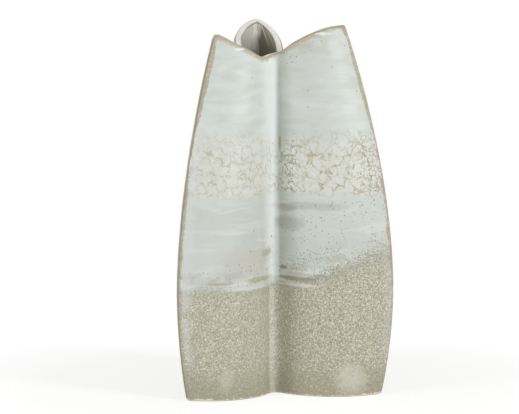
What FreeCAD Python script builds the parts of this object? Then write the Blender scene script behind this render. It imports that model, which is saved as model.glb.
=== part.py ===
import FreeCAD, Part
import math
import os
from FreeCAD import Vector

# A tall stoneware vase with three wings, built from three bent slabs that meet
# along the wing edges and stand on a base slab. Millimetres, +Z up. The origin is
# the middle of the underside, and the front valley faces -Y.

# Slab sizes
wall = 5.8                  # thickness of the three wall slabs
base = 6.5                  # thickness of the base slab
foot_bevel = 1.2            # pared edge round the underside

# Side profile of a wing edge, as its distance from the vertical axis
foot_radius = 94.1          # at the underside
belly_radius = 104.2        # at the widest place
belly_height = 88.0         # height of the widest place
top_radius = 63.2           # at the top height
top_height = 300.0          # nominal height of the vase
foot_power_share = 2.0      # below the belly the edge is a parabola
top_power_share = 1.77      # above it the edge straightens towards the top

# Plan: how the slabs bend
edge_half_angle = 58.3      # between a wing's middle plane and each of its walls, degrees
edge_round = 4.0            # rounding outside each wing edge
valley_round = 5.3          # rounding outside each valley

tip_height = 302.6          # height of the highest wing's tip

# The three wings, each with its direction in degrees, how far its tip is below the
# highest one and how much shorter than the nominal profile it is
wings = {
    "left": {"angle": 210.0, "tip_drop": 6.4, "short": 2.2},
    "right": {"angle": 330.0, "tip_drop": 0.2, "short": 0.0},
    "back": {"angle": 90.0, "tip_drop": 0.0, "short": 0.0},
}

# The three valleys, pressed in by hand and so not quite regular: direction in
# degrees, distance of the crease from the axis and how far the rim dips there
# below the highest tip
valleys = {
    "front": {"angle": 265.2, "radius": 22.8, "rim_drop": 22.6},
    "right": {"angle": 49.6, "radius": 23.3, "rim_drop": 28.5},
    "left": {"angle": 153.6, "radius": 28.3, "rim_drop": 25.7},
}

# Each wall runs counter-clockwise from one wing edge through its valley to the
# next. The rim's rise from valley to tip is given at a quarter, a half and three
# quarters of the way, for the half at the first wing and the half at the second
walls = {
    "front_wall": {
        "wings": ("left", "right"),
        "valley": "front",
        "rise_shares": ((-0.14, 0.25, 0.65), (0.42, 0.74, 0.94)),
    },
    "right_wall": {
        "wings": ("right", "back"),
        "valley": "right",
        "rise_shares": ((0.10, 0.40, 0.75), (0.10, 0.49, 0.80)),
    },
    "left_wall": {
        "wings": ("back", "left"),
        "valley": "left",
        "rise_shares": ((0.39, 0.57, 0.85), (0.08, 0.35, 0.68)),
    },
}

# Clay coils that seal the seams inside
edge_coil_leg = 8.0         # how far a coil reaches along each wall from the corner
edge_coil_depth = 3.2       # its thickness over the corner
edge_coil_stop = 10.0       # it ends this far below the tip of its wing
floor_coil = 6.0            # height and reach of the coil round the floor
floor_coil_lip = 1.2        # its thickness at the top

# Working values
overrun = 4.0               # cutters and raw pieces reach this far past what they trim
level_count = 12            # outlines that the slabs are drawn through
rim_steps = 64              # points along the rim of one wall
past_tip_share = 0.12       # how far the rim's cutter runs on past a wing, by half wall
near_axis_share = 0.05      # how near the axis it ends inside, by distance from it


def polar(radius, angle):
    turn = math.radians(angle)
    return Vector(radius * math.cos(turn), radius * math.sin(turn), 0)


def unit(vector):
    return vector * (1 / vector.Length)


def spin(vector, radians):
    return FreeCAD.Rotation(Vector(0, 0, 1), math.degrees(radians)).multVec(vector)


def lift(point, height):
    return Vector(point.x, point.y, height)


# Distance of a wing's edge from the axis at a height
def wing_radius(wing, height):
    if height < belly_height:
        share = (belly_height - height) / belly_height
        drop = (belly_radius - foot_radius) * share ** foot_power_share
    else:
        share = (height - belly_height) / (top_height - belly_height)
        drop = (belly_radius - top_radius) * share ** top_power_share
    return belly_radius - drop - wing["short"]


# Half a wall in plan, at a height. Its outside is an arc that leaves the wing's
# rounded edge at the edge angle and runs into the valley's rounding without a
# corner. side is 1 where the valley lies counter-clockwise of the wing, else -1
class HalfWall:
    def __init__(self, wing, valley, side, height):
        self.side = side
        self.axis = polar(1, wing["angle"])
        self.tip_radius = wing_radius(wing, height)
        self.round_centre = self.axis * (self.tip_radius - edge_round)
        self.inward = polar(1, wing["angle"] + 180 + side * (90 - edge_half_angle))
        self.valley_axis = polar(1, valley["angle"])
        self.valley_centre = self.valley_axis * (valley["radius"] + valley_round)
        start = self.round_end(0)
        gap = self.valley_centre - start
        self.bend = (gap.Length ** 2 - valley_round ** 2) / (
            2 * (valley_round + self.inward.dot(gap)))
        self.centre = start + self.inward * self.bend
        self.towards = unit(self.centre - self.valley_centre)

    # Where the edge's rounding ends and the bend starts, at a depth below the outside
    def round_end(self, depth):
        return self.round_centre - self.inward * (edge_round - depth)

    # Where the bend ends and the valley's rounding starts
    def valley_start(self, depth):
        return self.valley_centre + self.towards * (valley_round + depth)

    # Where a face inside the wall meets the wing's middle plane, the same place for
    # both walls of a wing
    def corner(self, depth):
        back = (depth - edge_round) / math.sin(math.radians(edge_half_angle))
        return self.round_centre - self.axis * back

    # A point of the face at a depth. share runs by length along the outside, from 0
    # at the crease to 1 at the wing, and may go a little past it
    def point(self, share, depth):
        valley_turn = self.towards.getAngle(-self.valley_axis)
        valley_way = valley_round * valley_turn
        way = share * (valley_way + self.bend * self.towards.getAngle(self.inward))
        if way < valley_way:
            direction = spin(-self.valley_axis, self.side * way / valley_round)
            return self.valley_centre + direction * (valley_round + depth)
        turn = (way - valley_way) / self.bend
        direction = spin(-self.towards, -self.side * turn)
        return self.centre + direction * (self.bend - depth)

    # A point inside the wall, some way along its inner face from the corner
    def near_corner(self, way, depth):
        direction = unit(self.corner(wall) - self.centre)
        turn = way / (self.bend - wall)
        return self.centre + spin(direction, self.side * turn) * (self.bend - depth)


def halves(wall_plan, height):
    first, second = (wings[name] for name in wall_plan["wings"])
    valley = valleys[wall_plan["valley"]]
    return HalfWall(first, valley, 1, height), HalfWall(second, valley, -1, height)


# An arc of less than half a turn about a centre, at a height
def arc(centre, first, last, height):
    radius = (first - centre).Length
    middle = centre + unit((first - centre) + (last - centre)) * radius
    return Part.Arc(*[lift(point, height) for point in (first, middle, last)]).toShape()


def line(first, last, height):
    return Part.LineSegment(lift(first, height), lift(last, height)).toShape()


# The closed outline of the vase at a depth below its outside. The outside has its
# wing edges rounded, and a face inside the walls has corners there
def outline(depth, height, rounded):
    edges = []
    for wall_plan in walls.values():
        one, two = halves(wall_plan, height)
        start = one.round_end(depth) if rounded else one.corner(depth)
        end = two.round_end(depth) if rounded else two.corner(depth)
        if rounded:
            tip = one.axis * (one.tip_radius - depth)
            edges.append(arc(one.round_centre, tip, start, height))
        edges.append(arc(one.centre, start, one.valley_start(depth), height))
        edges.append(arc(one.valley_centre, one.valley_start(depth),
                         two.valley_start(depth), height))
        edges.append(arc(two.centre, two.valley_start(depth), end, height))
        if rounded:
            tip = two.axis * (two.tip_radius - depth)
            edges.append(arc(two.round_centre, end, tip, height))
    return Part.Wire(edges)


# Heights from one place to another, in equal steps
def levels(bottom, top):
    step = (top - bottom) / (level_count - 1)
    return [bottom + step * index for index in range(level_count)]


# Height of the rim over one wall. place runs from -1 at its first wing through 0
# at the valley to 1 at its second, and the rim passes smoothly through its stations
def rim_height(wall_plan, place):
    low = tip_height - valleys[wall_plan["valley"]]["rim_drop"]
    rising = []
    for name, shares in zip(wall_plan["wings"], wall_plan["rise_shares"]):
        rise = tip_height - wings[name]["tip_drop"] - low
        rising.append([low + rise * share for share in shares + (1,)])
    stations = rising[0][::-1] + [low] + rising[1]
    spans = len(stations) - 1
    spot = min(max((place + 1) / 2, 0), 1) * spans
    index = min(int(spot), spans - 1)
    at = spot - index
    here, there = stations[index], stations[index + 1]
    before = stations[max(index - 1, 0)]
    after = stations[min(index + 2, spans)]
    slope_here = (there - before) / 2
    slope_there = (after - here) / 2
    ease = at * at * (3 - 2 * at)
    return (here + (there - here) * ease + slope_here * at * (1 - at) ** 2
            - slope_there * at * at * (1 - at))


# The rim as a curve on the face of one wall at a depth, drawn in towards the axis
# to a share of its distance from it
def rim_edge(wall_plan, depth, out_share=1):
    places = []
    points = []
    for index in range(rim_steps + 1):
        place = (2 * index / rim_steps - 1) * (1 + past_tip_share)
        height = rim_height(wall_plan, place)
        half = halves(wall_plan, height)[0 if place < 0 else 1]
        places.append(place)
        points.append(lift(half.point(abs(place), depth) * out_share, height))
    curve = Part.BSplineCurve()
    curve.interpolate(Points=points, Parameters=places)
    return curve.toShape()


highest = tip_height - min(wing["tip_drop"] for wing in wings.values())
lowest = tip_height - max(valley["rim_drop"] for valley in valleys.values())
wall_top = highest + overrun


# What is pared away above the rim of one wall: a strip square across its thickness,
# and one from there in to the axis, because the walls lean inwards above the rim
def rim_cutters(wall_plan):
    outer = rim_edge(wall_plan, -overrun)
    inner = rim_edge(wall_plan, wall + overrun)
    middle = rim_edge(wall_plan, wall + overrun, near_axis_share)
    rise = Vector(0, 0, 2 * (wall_top - lowest))
    return [Part.makeRuledSurface(*pair).extrude(rise)
            for pair in ((outer, inner), (inner, middle))]


# The third of the plan between two wings, which one wall fills
def sector(wall_plan):
    first, second = (wings[name]["angle"] for name in wall_plan["wings"])
    span = (second - first) % 360
    reach = 2 * belly_radius
    corners = [Vector(0, 0, base)]
    for share in (0, 0.5, 1):
        corners.append(lift(polar(reach, first + span * share), base))
    corners.append(corners[0])
    return Part.Face(Part.makePolygon(corners)).extrude(Vector(0, 0, wall_top))


def make_wall(wall_plan, ring):
    return ring.common(sector(wall_plan)).cut(rim_cutters(wall_plan))


# The base slab carries the walls, so its edge follows their outside
def make_base():
    sections = [
        outline(foot_bevel, 0, True),
        outline(0, foot_bevel, True),
        outline(0, base, True),
    ]
    return Part.makeLoft(sections, True, True)


# Plan of the coil in a wing's inner corner, with a hollow face. It is drawn into
# both walls, and their inside then trims it
def edge_coil_section(wing_name, height):
    before = next(plan for plan in walls.values() if plan["wings"][1] == wing_name)
    after = next(plan for plan in walls.values() if plan["wings"][0] == wing_name)
    half_before = halves(before, height)[1]
    half_after = halves(after, height)[0]
    side_before = half_before.near_corner(edge_coil_leg, wall / 2)
    side_after = half_after.near_corner(edge_coil_leg, wall / 2)
    apex = half_after.corner(wall / 2)
    hollow = half_after.corner(wall) - half_after.axis * edge_coil_depth
    face = [lift(point, height) for point in (side_after, hollow, side_before)]
    return Part.Wire([
        line(side_before, apex, height),
        line(apex, side_after, height),
        Part.Arc(*face).toShape(),
    ])


def make_edge_coil(wing_name, cavity):
    top = tip_height - wings[wing_name]["tip_drop"] - edge_coil_stop
    sections = [edge_coil_section(wing_name, level) for level in levels(base, top)]
    return Part.makeLoft(sections, True).common(cavity)


def make_floor_coil(cavity, edge_coils):
    top = base + floor_coil
    band = Part.Face(outline(wall / 2, base, False)).extrude(Vector(0, 0, floor_coil))
    core = Part.makeLoft([
        outline(wall + floor_coil, base, False),
        outline(wall + floor_coil_lip, top, False),
    ], True, True)
    return band.common(cavity).cut([core] + edge_coils)


wall_levels = levels(base, wall_top)
body = Part.makeLoft([outline(0, level, True) for level in wall_levels], True)
cavity = Part.makeLoft([outline(wall, level, False) for level in wall_levels], True)
ring = body.cut(cavity)

pieces = {name: make_wall(wall_plan, ring) for name, wall_plan in walls.items()}
edge_coils = {name + "_edge_coil": make_edge_coil(name, cavity) for name in wings}
pieces.update(edge_coils)
pieces["floor_coil"] = make_floor_coil(cavity, list(edge_coils.values()))
pieces["base_slab"] = make_base()

os.makedirs("parts", exist_ok=True)
for name, piece in pieces.items():
    piece.exportStep("parts/" + name + ".step")
    print(name, "solids", len(piece.Solids), "valid", piece.isValid(),
          "volume cm3", round(piece.Volume / 1000, 2))
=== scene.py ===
import math
import bmesh
import bpy
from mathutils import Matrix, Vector


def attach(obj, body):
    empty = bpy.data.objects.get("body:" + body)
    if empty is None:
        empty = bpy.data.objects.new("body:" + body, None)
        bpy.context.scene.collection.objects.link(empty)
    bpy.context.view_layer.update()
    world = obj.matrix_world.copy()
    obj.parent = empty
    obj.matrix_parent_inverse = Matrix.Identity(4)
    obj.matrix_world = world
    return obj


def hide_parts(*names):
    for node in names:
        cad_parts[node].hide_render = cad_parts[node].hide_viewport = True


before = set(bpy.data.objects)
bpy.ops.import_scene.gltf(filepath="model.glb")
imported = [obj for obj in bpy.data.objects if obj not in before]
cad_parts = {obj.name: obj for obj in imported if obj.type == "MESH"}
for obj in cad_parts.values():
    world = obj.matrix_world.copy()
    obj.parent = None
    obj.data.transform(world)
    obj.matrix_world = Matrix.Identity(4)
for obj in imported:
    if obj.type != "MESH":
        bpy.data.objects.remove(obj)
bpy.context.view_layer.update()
print("frame loaded:", len(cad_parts), "clay pieces")

mm = 0.001
degree = math.pi / 180
turns = {"halfPi": math.pi / 2, "pi": math.pi, "twoPi": 2 * math.pi}
white = (1, 1, 1, 1)


def addNode(tree, kind, inputs=(), **settings):  # one node, its settings and its links
    node = tree.nodes.new(kind)
    for name, value in settings.items():
        setattr(node, name, value)
    pairs = inputs.items() if isinstance(inputs, dict) else enumerate(inputs)
    for place, value in pairs:
        if isinstance(value, bpy.types.Node):
            tree.links.new(value.outputs[0], node.inputs[place])
        elif isinstance(value, bpy.types.NodeSocket):
            tree.links.new(value, node.inputs[place])
        elif value is not None:
            node.inputs[place].default_value = value
    return node


def runSteps(tree, steps, values):  # each line is a note or one math node: name = OPERATION values
    values.update(turns)
    for line in steps.strip().splitlines():
        if line.startswith("#"):
            continue
        name, _, operation, *words = line.split()
        inputs = [values[word] if word in values else float(word) for word in words]
        if operation == "RAMP":  # 0 at the first number, 1 at the second, and smooth between them
            node = addNode(tree, "ShaderNodeMapRange", inputs, interpolation_type="SMOOTHSTEP", label=name)
        else:
            node = addNode(tree, "ShaderNodeMath", inputs, operation=operation, label=name)
        values[name] = node.outputs[0]


def newTree(name, sizes, outputs):  # a geometry tree with a named input for each size
    tree = bpy.data.node_groups.new(name, "GeometryNodeTree")
    for size, kind in sizes.items():
        tree.interface.new_socket(size, in_out="INPUT", socket_type=kind)
    for output, kind in outputs.items():
        tree.interface.new_socket(output, in_out="OUTPUT", socket_type=kind)
    source = addNode(tree, "NodeGroupInput")
    return tree, source, addNode(tree, "NodeGroupOutput")


# The plan of one bent slab: half a wall is an arc between a wing's rounded edge and its valley
planSizes = {
    "firstAngle": 0, "secondAngle": 0, "valleyAngle": 0, "firstShort": 0, "secondShort": 0,
    "valleyRadius": 0, "footRadius": 94.1 * mm, "bellyRadius": 104.2 * mm, "bellyHeight": 88 * mm,
    "topRadius": 63.2 * mm, "topHeight": 300 * mm, "footPower": 2.0, "topPower": 1.77,
    "edgeHalfAngle": 58.3 * degree, "edgeRound": 4 * mm, "valleyRound": 5.3 * mm, "halfColumns": 48,
    "edgeColumns": 4,
}
planSteps = """
# which half of the wall the column is in, and its share of the way out to the wing
away = ABSOLUTE column
second = GREATER_THAN column 0
side = MULTIPLY_ADD second -2 1
shareOut = DIVIDE away halfColumns
place = MINIMUM shareOut 1
pastBend = SUBTRACT away halfColumns
edgeRatio = DIVIDE pastBend edgeColumns
edgeLow = MAXIMUM edgeRatio 0
edgeShare = MINIMUM edgeLow 1
inEdge = GREATER_THAN pastBend 0.25
# the wing and the valley of that half
angleGap = SUBTRACT secondAngle firstAngle
wingAngle = MULTIPLY_ADD second angleGap firstAngle
shortGap = SUBTRACT secondShort firstShort
short = MULTIPLY_ADD second shortGap firstShort
valleyOff = SUBTRACT valleyAngle wingAngle
valleyWayOff = MULTIPLY valleyOff side
# the wing's reach at this height: widest at the belly, less below and above it
underBelly = SUBTRACT bellyHeight height
underShare = DIVIDE underBelly bellyHeight
lowShare = MAXIMUM underShare 0
lowCurve = POWER lowShare footPower
lowReach = SUBTRACT bellyRadius footRadius
lowDrop = MULTIPLY lowReach lowCurve
overSpan = SUBTRACT topHeight bellyHeight
overBelly = SUBTRACT height bellyHeight
overShare = DIVIDE overBelly overSpan
highShare = MAXIMUM overShare 0
highCurve = POWER highShare topPower
highReach = SUBTRACT bellyRadius topRadius
highDrop = MULTIPLY highReach highCurve
drops = ADD lowDrop highDrop
dropsAll = ADD drops short
radius = SUBTRACT bellyRadius dropsAll
# where the wing's arc leaves its rounded edge, and the middle of the valley's round
sinEdge = SINE edgeHalfAngle
cosEdge = COSINE edgeHalfAngle
roundX = SUBTRACT radius edgeRound
startX = MULTIPLY_ADD edgeRound sinEdge roundX
startY = MULTIPLY edgeRound cosEdge
valleyReach = ADD valleyRadius valleyRound
cosValley = COSINE valleyWayOff
sinValley = SINE valleyWayOff
valleyX = MULTIPLY valleyReach cosValley
valleyY = MULTIPLY valleyReach sinValley
# the one arc that touches both, its radius and its middle
gapX = SUBTRACT valleyX startX
gapY = SUBTRACT valleyY startY
inwardX = MULTIPLY sinEdge gapX
inward = MULTIPLY_ADD cosEdge gapY inwardX
gapXX = MULTIPLY gapX gapX
gapLong = MULTIPLY_ADD gapY gapY gapXX
roundLong = MULTIPLY valleyRound valleyRound
gapPart = SUBTRACT gapLong roundLong
bendPart = SUBTRACT valleyRound inward
bendHalf = DIVIDE gapPart bendPart
bend = MULTIPLY bendHalf 0.5
bendSin = MULTIPLY sinEdge bend
bendCos = MULTIPLY cosEdge bend
centreX = SUBTRACT startX bendSin
centreY = SUBTRACT startY bendCos
towardsX = SUBTRACT centreX valleyX
towardsY = SUBTRACT centreY valleyY
towards = ARCTAN2 towardsY towardsX
halfTurn = ADD towards pi
valleyTurn = SUBTRACT halfTurn valleyWayOff
bendBase = ADD towards halfPi
bendTurn = ADD bendBase edgeHalfAngle
# lengths along the section, which space the columns evenly
valleyWay = MULTIPLY valleyRound valleyTurn
bendWay = MULTIPLY bend bendTurn
wholeWay = ADD valleyWay bendWay
way = MULTIPLY place wholeWay
# a point in the valley's round
inValley = LESS_THAN way valleyWay
valleyArc = DIVIDE way valleyRound
valleyStart = ADD valleyWayOff pi
valleyFacing = ADD valleyStart valleyArc
valleyOut = ADD valleyRound depth
cosV = COSINE valleyFacing
sinV = SINE valleyFacing
xV = MULTIPLY_ADD valleyOut cosV valleyX
yV = MULTIPLY_ADD valleyOut sinV valleyY
# a point on the arc
bendPast = SUBTRACT way valleyWay
bendRatio = DIVIDE bendPast bendWay
bendLow = MAXIMUM bendRatio 0
deep = MAXIMUM depth edgeRound
bendDeep = SUBTRACT bend deep
bendRound = SUBTRACT bend edgeRound
endPart = MULTIPLY cosEdge bendRound
endSine = DIVIDE endPart bendDeep
endAngle = ARCSINE endSine
bendSpan = SUBTRACT halfTurn endAngle
bendGone = MULTIPLY bendLow bendSpan
bendFacing = SUBTRACT halfTurn bendGone
bendOut = SUBTRACT bend depth
cosB = COSINE bendFacing
sinB = SINE bendFacing
xB = MULTIPLY_ADD bendOut cosB centreX
yB = MULTIPLY_ADD bendOut sinB centreY
# a point on the wing's rounded edge
cosEnd = COSINE endAngle
cornerX = MULTIPLY_ADD bendDeep cosEnd centreX
edgeGone = SUBTRACT edgeRound depth
edgeOut = MAXIMUM edgeGone 0
edgeLeft = SUBTRACT 1 edgeShare
edgeSpan = SUBTRACT halfPi edgeHalfAngle
edgeFacing = MULTIPLY edgeSpan edgeLeft
cosE = COSINE edgeFacing
sinE = SINE edgeFacing
xE = MULTIPLY_ADD edgeOut cosE cornerX
yE = MULTIPLY edgeOut sinE
# the one of the three that the column is on
xGap = SUBTRACT xV xB
yGap = SUBTRACT yV yB
xArc = MULTIPLY_ADD inValley xGap xB
yArc = MULTIPLY_ADD inValley yGap yB
xLast = SUBTRACT xE xArc
yLast = SUBTRACT yE yArc
xLocal = MULTIPLY_ADD inEdge xLast xArc
yOne = MULTIPLY_ADD inEdge yLast yArc
yLocal = MULTIPLY yOne side
# the way it faces
outValley = ADD valleyFacing pi
outGap = SUBTRACT outValley bendFacing
outArc = MULTIPLY_ADD inValley outGap bendFacing
outLast = SUBTRACT edgeFacing outArc
outOne = MULTIPLY_ADD inEdge outLast outArc
outLocal = MULTIPLY outOne side
outTurn = ADD outLocal wingAngle
outX = COSINE outTurn
outY = SINE outTurn
# turned to the wing's own direction
cosWing = COSINE wingAngle
sinWing = SINE wingAngle
xOne = MULTIPLY xLocal cosWing
xTwo = MULTIPLY yLocal sinWing
x = SUBTRACT xOne xTwo
yTwo = MULTIPLY xLocal sinWing
y = MULTIPLY_ADD yLocal cosWing yTwo
# how far it is from the wing's edge, and along from the valley
edgeWay = SUBTRACT wholeWay way
roundWay = MULTIPLY edgeRound edgeSpan
edgeMore = MULTIPLY roundWay edgeLeft
edgeGap = ADD edgeWay edgeMore
wayLeft = SUBTRACT 0 side
along = MULTIPLY way wayLeft
"""


def makePlanGroup():
    sizes = {name: "NodeSocketFloat" for name in ("column", "depth", "height", *planSizes)}
    outputs = {"Position": "NodeSocketVector", "Outward": "NodeSocketVector",
               "Edge gap": "NodeSocketFloat", "Along": "NodeSocketFloat"}
    tree, source, result = newTree("bentSlabPlan", sizes, outputs)
    values = {socket.name: socket for socket in source.outputs if socket.name}
    runSteps(tree, planSteps, values)
    position = addNode(tree, "ShaderNodeCombineXYZ", [values["x"], values["y"], values["height"]])
    outward = addNode(tree, "ShaderNodeCombineXYZ", [values["outX"], values["outY"], 0])
    for place, socket in enumerate([position, outward, values["edgeGap"], values["along"]]):
        tree.links.new(socket.outputs[0] if socket in (position, outward) else socket, result.inputs[place])
    return tree


planGroup = makePlanGroup()
mergeGap = 0.02 * mm  # points nearer than this become one
sharpAngle = 40 * degree  # an edge that turns more looks sharp


def startPiece(name, sizes, countSteps, counts):  # a tree with its grid, whose columns and rows are counted
    kinds = {"Geometry": "NodeSocketGeometry", "Material": "NodeSocketMaterial"}
    kinds.update({size: "NodeSocketFloat" for size in (*planSizes, *sizes)})
    tree, source, result = newTree(name, kinds, {"Geometry": "NodeSocketGeometry"})
    values = {socket.name: socket for socket in source.outputs if socket.name}
    runSteps(tree, countSteps, values)
    grid = addNode(tree, "GeometryNodeMeshGrid", [values[count] for count in counts])
    spot = addNode(tree, "ShaderNodeSeparateXYZ", [addNode(tree, "GeometryNodeInputPosition")])
    values["gridX"], values["gridY"] = spot.outputs[0], spot.outputs[1]
    return tree, result, values, grid.outputs[0]


def addPlan(tree, values):  # the slab's plan, asked at each point's column, depth and height
    plan = addNode(tree, "GeometryNodeGroup", node_tree=planGroup)
    for name in ("column", "depth", "height", *planSizes):
        tree.links.new(values[name], plan.inputs[name])
    return plan


def placeGrid(tree, grid, stored, inputs):  # the points get their values for the glaze, then their place
    for name, value in stored.items():
        grid = addNode(tree, "GeometryNodeStoreNamedAttribute",
                       {"Geometry": grid, "Name": name, "Value": value}, data_type="FLOAT", domain="POINT")
    placed = addNode(tree, "GeometryNodeSetPosition", {"Geometry": grid, **inputs})
    return addNode(tree, "GeometryNodeMergeByDistance", {"Geometry": placed, "Distance": mergeGap})


def endPiece(tree, result, values, shape):
    real = addNode(tree, "GeometryNodeRealizeInstances", {"Geometry": shape})
    dressed = addNode(tree, "GeometryNodeSetMaterial", {"Geometry": real, "Material": values["Material"]})
    tree.links.new(dressed.outputs[0], result.inputs[0])
    return tree


wallSizes = {
    "wall": 5.8 * mm, "base": 6.5 * mm, "lip": 2.4 * mm, "lipPower": 0.7, "rows": 84, "lipRows": 10,
    "unevenness": 0.35 * mm, "unevenSpacing": 55 * mm, "unevenDetail": 2, "unevenFrom": 30 * mm,
}
rimCount = 9  # heights given along a wall's rim: its valley, and four to each tip
wallSteps = """
halfCount = ADD halfColumns edgeColumns
halfAll = ADD halfCount 1
spanX = MULTIPLY halfAll 2
countX = ADD spanX 1
rowsBoth = MULTIPLY_ADD rows 2 lipRows
spanY = ADD rowsBoth 1
countY = ADD spanY 1
"""
rimSteps = """
# the point's place along the rim, and the rim heights before and after it
rowHalf = MULTIPLY spanY 0.5
row = ADD gridY rowHalf
away = ABSOLUTE column
second = GREATER_THAN column 0
sideOut = MULTIPLY_ADD second 2 -1
shareOut = DIVIDE away halfColumns
shareAway = MINIMUM shareOut 1
placeOut = MULTIPLY shareAway sideOut
spotUp = MULTIPLY_ADD placeOut rimHalf rimHalf
spot = MINIMUM spotUp rimEnd
index = FLOOR spot
at = SUBTRACT spot index
beforeLow = SUBTRACT index 1
before = MAXIMUM beforeLow 0
next = ADD index 1
afterHigh = ADD index 2
after = MINIMUM afterHigh rimLast
"""
sectionSteps = """
# the rim here, on a smooth curve through the given heights
slopeHereTwo = SUBTRACT rimNext rimBefore
slopeHere = MULTIPLY slopeHereTwo 0.5
slopeNextTwo = SUBTRACT rimAfter rimHere
slopeNext = MULTIPLY slopeNextTwo 0.5
atAt = MULTIPLY at at
easeLeft = MULTIPLY_ADD at -2 3
ease = MULTIPLY atAt easeLeft
rise = SUBTRACT rimNext rimHere
rimEased = MULTIPLY_ADD rise ease rimHere
left = SUBTRACT 1 at
leftLeft = MULTIPLY left left
bowHere = MULTIPLY at leftLeft
rimHereBow = MULTIPLY_ADD slopeHere bowHere rimEased
bowNext = MULTIPLY atAt left
rimNextBow = MULTIPLY slopeNext bowNext
rim = SUBTRACT rimHereBow rimNextBow
# up the outside, over the lip and down the inside
upShare = DIVIDE row rows
rowsLeft = SUBTRACT rowsBoth row
downShare = DIVIDE rowsLeft rows
bothShare = MINIMUM upShare downShare
faceLow = MAXIMUM bothShare 0
faceShare = MINIMUM faceLow 1
lipPast = SUBTRACT row rows
lipRatio = DIVIDE lipPast lipRows
lipLow = MAXIMUM lipRatio 0
lipShare = MINIMUM lipLow 1
# how deep in the wall the point is
lipTurn = MULTIPLY lipShare pi
lipCos = COSINE lipTurn
lipSize = ABSOLUTE lipCos
lipSign = SIGN lipCos
lipBow = POWER lipSize lipPower
lipSide = MULTIPLY lipBow lipSign
wallHalf = MULTIPLY wall 0.5
depthHalf = MULTIPLY wallHalf lipSide
depthOpen = SUBTRACT wallHalf depthHalf
closing = GREATER_THAN row rowsBoth
opening = SUBTRACT 1 closing
depthFace = MULTIPLY depthOpen opening
# how high it is
lipSine = SINE lipTurn
lipUp = ABSOLUTE lipSine
lipRise = POWER lipUp lipPower
faceTop = SUBTRACT rim lip
faceSpan = SUBTRACT faceTop base
faceHeight = MULTIPLY_ADD faceShare faceSpan base
heightFace = MULTIPLY_ADD lip lipRise faceHeight
# the end columns close the wall on its middle plane
capPast = SUBTRACT away halfCount
cap = GREATER_THAN capPast 0.5
depthGap = SUBTRACT wallHalf depthFace
depth = MULTIPLY_ADD cap depthGap depthFace
heightLow = MINIMUM heightFace faceTop
heightGap = SUBTRACT heightLow heightFace
height = MULTIPLY_ADD cap heightGap heightFace
# values for the glaze, and how far the hand-made wall gives way inwards
inside = DIVIDE depth wall
rimGap = SUBTRACT rim height
outerShare = SUBTRACT 1 inside
fromBase = SUBTRACT height base
baseFade = RAMP fromBase 0 unevenFrom
pushIn = MULTIPLY outerShare unevenness
pushFaded = MULTIPLY pushIn baseFade
uneven = MULTIPLY pushFaded -1
"""


def makeWallTree():
    rims = ["rim" + str(number) for number in range(rimCount)]
    counts = ("spanX", "spanY", "countX", "countY")
    tree, result, values, grid = startPiece("glazedWall", (*wallSizes, *rims), wallSteps, counts)
    values["column"] = values["gridX"]
    last = rimCount - 1
    values.update({"rimLast": last, "rimHalf": last / 2, "rimEnd": last - 0.0001})  # just short of the last
    runSteps(tree, rimSteps, values)
    picks = {"rimBefore": "before", "rimHere": "index", "rimNext": "next", "rimAfter": "after"}
    for name, index in picks.items():
        switch = addNode(tree, "GeometryNodeIndexSwitch", data_type="FLOAT")
        for _ in range(len(rims) - 2):  # it starts with two
            switch.index_switch_items.new()
        tree.links.new(values[index], switch.inputs[0])
        for number, rim in enumerate(rims):
            tree.links.new(values[rim], switch.inputs[number + 1])
        values[name] = switch.outputs[0]
    runSteps(tree, sectionSteps, values)
    plan = addPlan(tree, values)
    spacing = addNode(tree, "ShaderNodeMath", [1, values["unevenSpacing"]], operation="DIVIDE")
    noise = addNode(tree, "ShaderNodeTexNoise",
                    {"Vector": plan.outputs["Position"], "Scale": spacing, "Detail": values["unevenDetail"]})
    push = addNode(tree, "ShaderNodeMath", [noise, values["uneven"]], operation="MULTIPLY")
    offset = addNode(tree, "ShaderNodeVectorMath", {0: plan.outputs["Outward"], 3: push}, operation="SCALE")
    stored = {"inside": values["inside"], "rimGap": values["rimGap"],
              "edgeGap": plan.outputs["Edge gap"], "along": plan.outputs["Along"]}
    merged = placeGrid(tree, grid, stored, {"Position": plan.outputs["Position"], "Offset": offset})
    smooth = addNode(tree, "GeometryNodeSetShadeSmooth",
                     {"Geometry": merged, "Shade Smooth": True}, domain="FACE")
    angle = addNode(tree, "GeometryNodeInputMeshEdgeAngle")
    sharp = addNode(tree, "ShaderNodeMath", [angle, sharpAngle], operation="GREATER_THAN")
    crisp = addNode(tree, "GeometryNodeSetShadeSmooth",
                    {"Geometry": smooth, "Selection": sharp, "Shade Smooth": False}, domain="EDGE")
    return endPiece(tree, result, values, crisp)


baseSizes = {"base": wallSizes["base"], "footBevel": 1.2 * mm, "discRows": 8, "sideRows": 10}
baseSteps = """
halfCount = ADD halfColumns edgeColumns
spanX = MULTIPLY halfCount 2
countX = ADD spanX 1
spanY = MULTIPLY_ADD discRows 2 sideRows
countY = ADD spanY 1
"""
slabSteps = """
# out along the underside, up the bevelled side and back in over the top
rowHalf = MULTIPLY spanY 0.5
row = ADD gridY rowHalf
outRatio = DIVIDE row discRows
rowsLeft = SUBTRACT spanY row
inRatio = DIVIDE rowsLeft discRows
lowRatio = MINIMUM outRatio inRatio
discShare = MINIMUM lowRatio 1
sidePast = SUBTRACT row discRows
sideRatio = DIVIDE sidePast sideRows
sideLow = MAXIMUM sideRatio 0
sideShare = MINIMUM sideLow 1
height = MULTIPLY sideShare base
upBevel = DIVIDE height footBevel
bevelDown = SUBTRACT 1 upBevel
bevelLeft = MAXIMUM bevelDown 0
bevelLong = MULTIPLY bevelLeft bevelLeft
bevelRest = SUBTRACT 1 bevelLong
bevelRoot = SQRT bevelRest
bevelIn = SUBTRACT 1 bevelRoot
depth = MULTIPLY bevelIn footBevel
"""


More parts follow.
